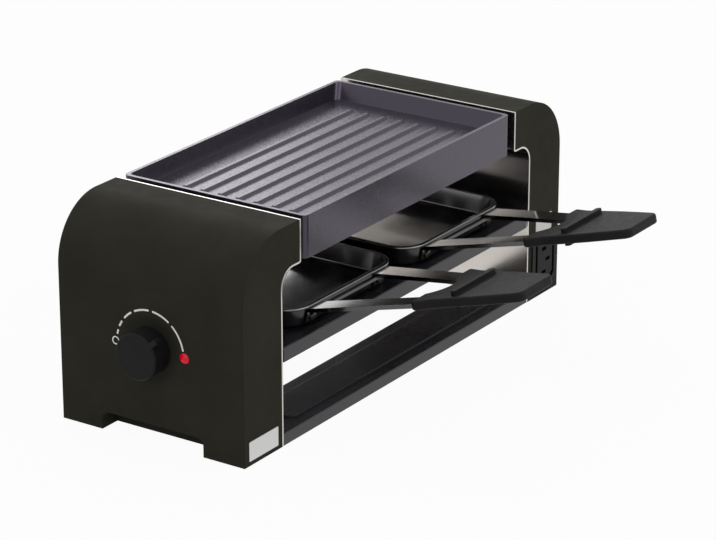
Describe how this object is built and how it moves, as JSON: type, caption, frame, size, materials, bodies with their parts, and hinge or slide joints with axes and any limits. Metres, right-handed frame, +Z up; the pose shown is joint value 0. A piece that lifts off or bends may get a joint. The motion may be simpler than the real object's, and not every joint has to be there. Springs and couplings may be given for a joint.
{
  "type": "raclette grill",
  "caption": "Table-top raclette grill with a ribbed lift-off grill plate, two sliding pans under a tubular heating element, and a turning heat knob.",
  "frame": {"origin": "centre of the housings' footprint on the surface it stands on", "axes": "+X from the knob end to the socket end, -Y the side where the pan handles stick out, +Z up"},
  "size_m": [0.3174, 0.2246, 0.118],
  "materials": {
    "housing_coat": "satin powder coat",
    "panel_steel": "polished stainless sheet",
    "cover_sheet": "matt black coat",
    "shelf_coat": "black non-stick coat",
    "plate_coat": "fine textured non-stick coat",
    "pan_enamel": "gloss non-stick coat",
    "bright_steel": "plain steel",
    "screw_steel": "zinc plated",
    "element_steel": "dull oxidised tube",
    "black_plastic": "fine grained",
    "grey_plastic": "smooth",
    "red_lens": "clear red",
    "brass_metal": "plain",
    "ceramic_white": "unglazed",
    "foot_rubber": "matt",
    "lead_sheath": "smooth sheath",
    "lead_insulation": "silicone",
    "shaft_plastic": "plain"
  },
  "bodies": {
    "housing": {"near_housing_shell": "housing_coat", "far_housing_shell": "housing_coat", "near_end_panel": "panel_steel", "far_end_panel": "panel_steel", "near_bottom_cover": "cover_sheet", "far_bottom_cover": "cover_sheet", "bottom_cover_screws": "screw_steel", "rubber_feet": "foot_rubber", "shelf_tray": "shelf_coat", "shelf_screws": "screw_steel", "front_base_rail": "shelf_coat", "rear_base_rail": "shelf_coat", "rail_screws": "screw_steel", "near_plate_rest": "bright_steel", "far_plate_rest": "bright_steel", "plate_rest_rivets": "screw_steel", "heating_element": "element_steel", "element_flanges": "bright_steel", "flange_rivets": "screw_steel", "element_clips": "bright_steel", "clip_rivets": "screw_steel", "element_terminals": "ceramic_white", "regulator_body": "grey_plastic", "regulator_nut": "brass_metal", "pilot_lamp_lens": "red_lens", "pilot_lamp_holder": "grey_plastic", "link_outlet": "black_plastic", "link_outlet_contacts": "brass_metal", "power_inlet": "black_plastic", "power_inlet_pins": "brass_metal", "terminal_block": "ceramic_white", "thermal_cutout": "ceramic_white", "supply_lead": "lead_sheath", "near_leads": "lead_insulation", "far_leads": "lead_insulation"},
    "grill_plate": {"grill_plate": "plate_coat"},
    "knob": {"control_knob": "black_plastic", "regulator_shaft": "shaft_plastic"},
    "near_pan": {"near_pan_bowl": "pan_enamel", "near_pan_frame": "bright_steel", "near_pan_rivets": "screw_steel", "near_pan_grip": "black_plastic"},
    "far_pan": {"far_pan_bowl": "pan_enamel", "far_pan_frame": "bright_steel", "far_pan_rivets": "screw_steel", "far_pan_grip": "black_plastic"}
  },
  "joints": [
    {"name": "knob_turn", "type": "hinge", "parent": "housing", "child": "knob", "pos_m": [-0.1525, 0, 0.052], "axis": [1, 0, 0], "range_deg": [-139, 31]},
    {"name": "grill_plate_lift", "type": "slide", "parent": "housing", "child": "grill_plate", "axis": [0, 0, 1], "range_m": [0, 0.06]},
    {"name": "near_pan_slide", "type": "slide", "parent": "housing", "child": "near_pan", "axis": [0, -1, 0], "range_m": [0, 0.13]},
    {"name": "far_pan_slide", "type": "slide", "parent": "housing", "child": "far_pan", "axis": [0, -1, 0], "range_m": [0, 0.13]}
  ]
}
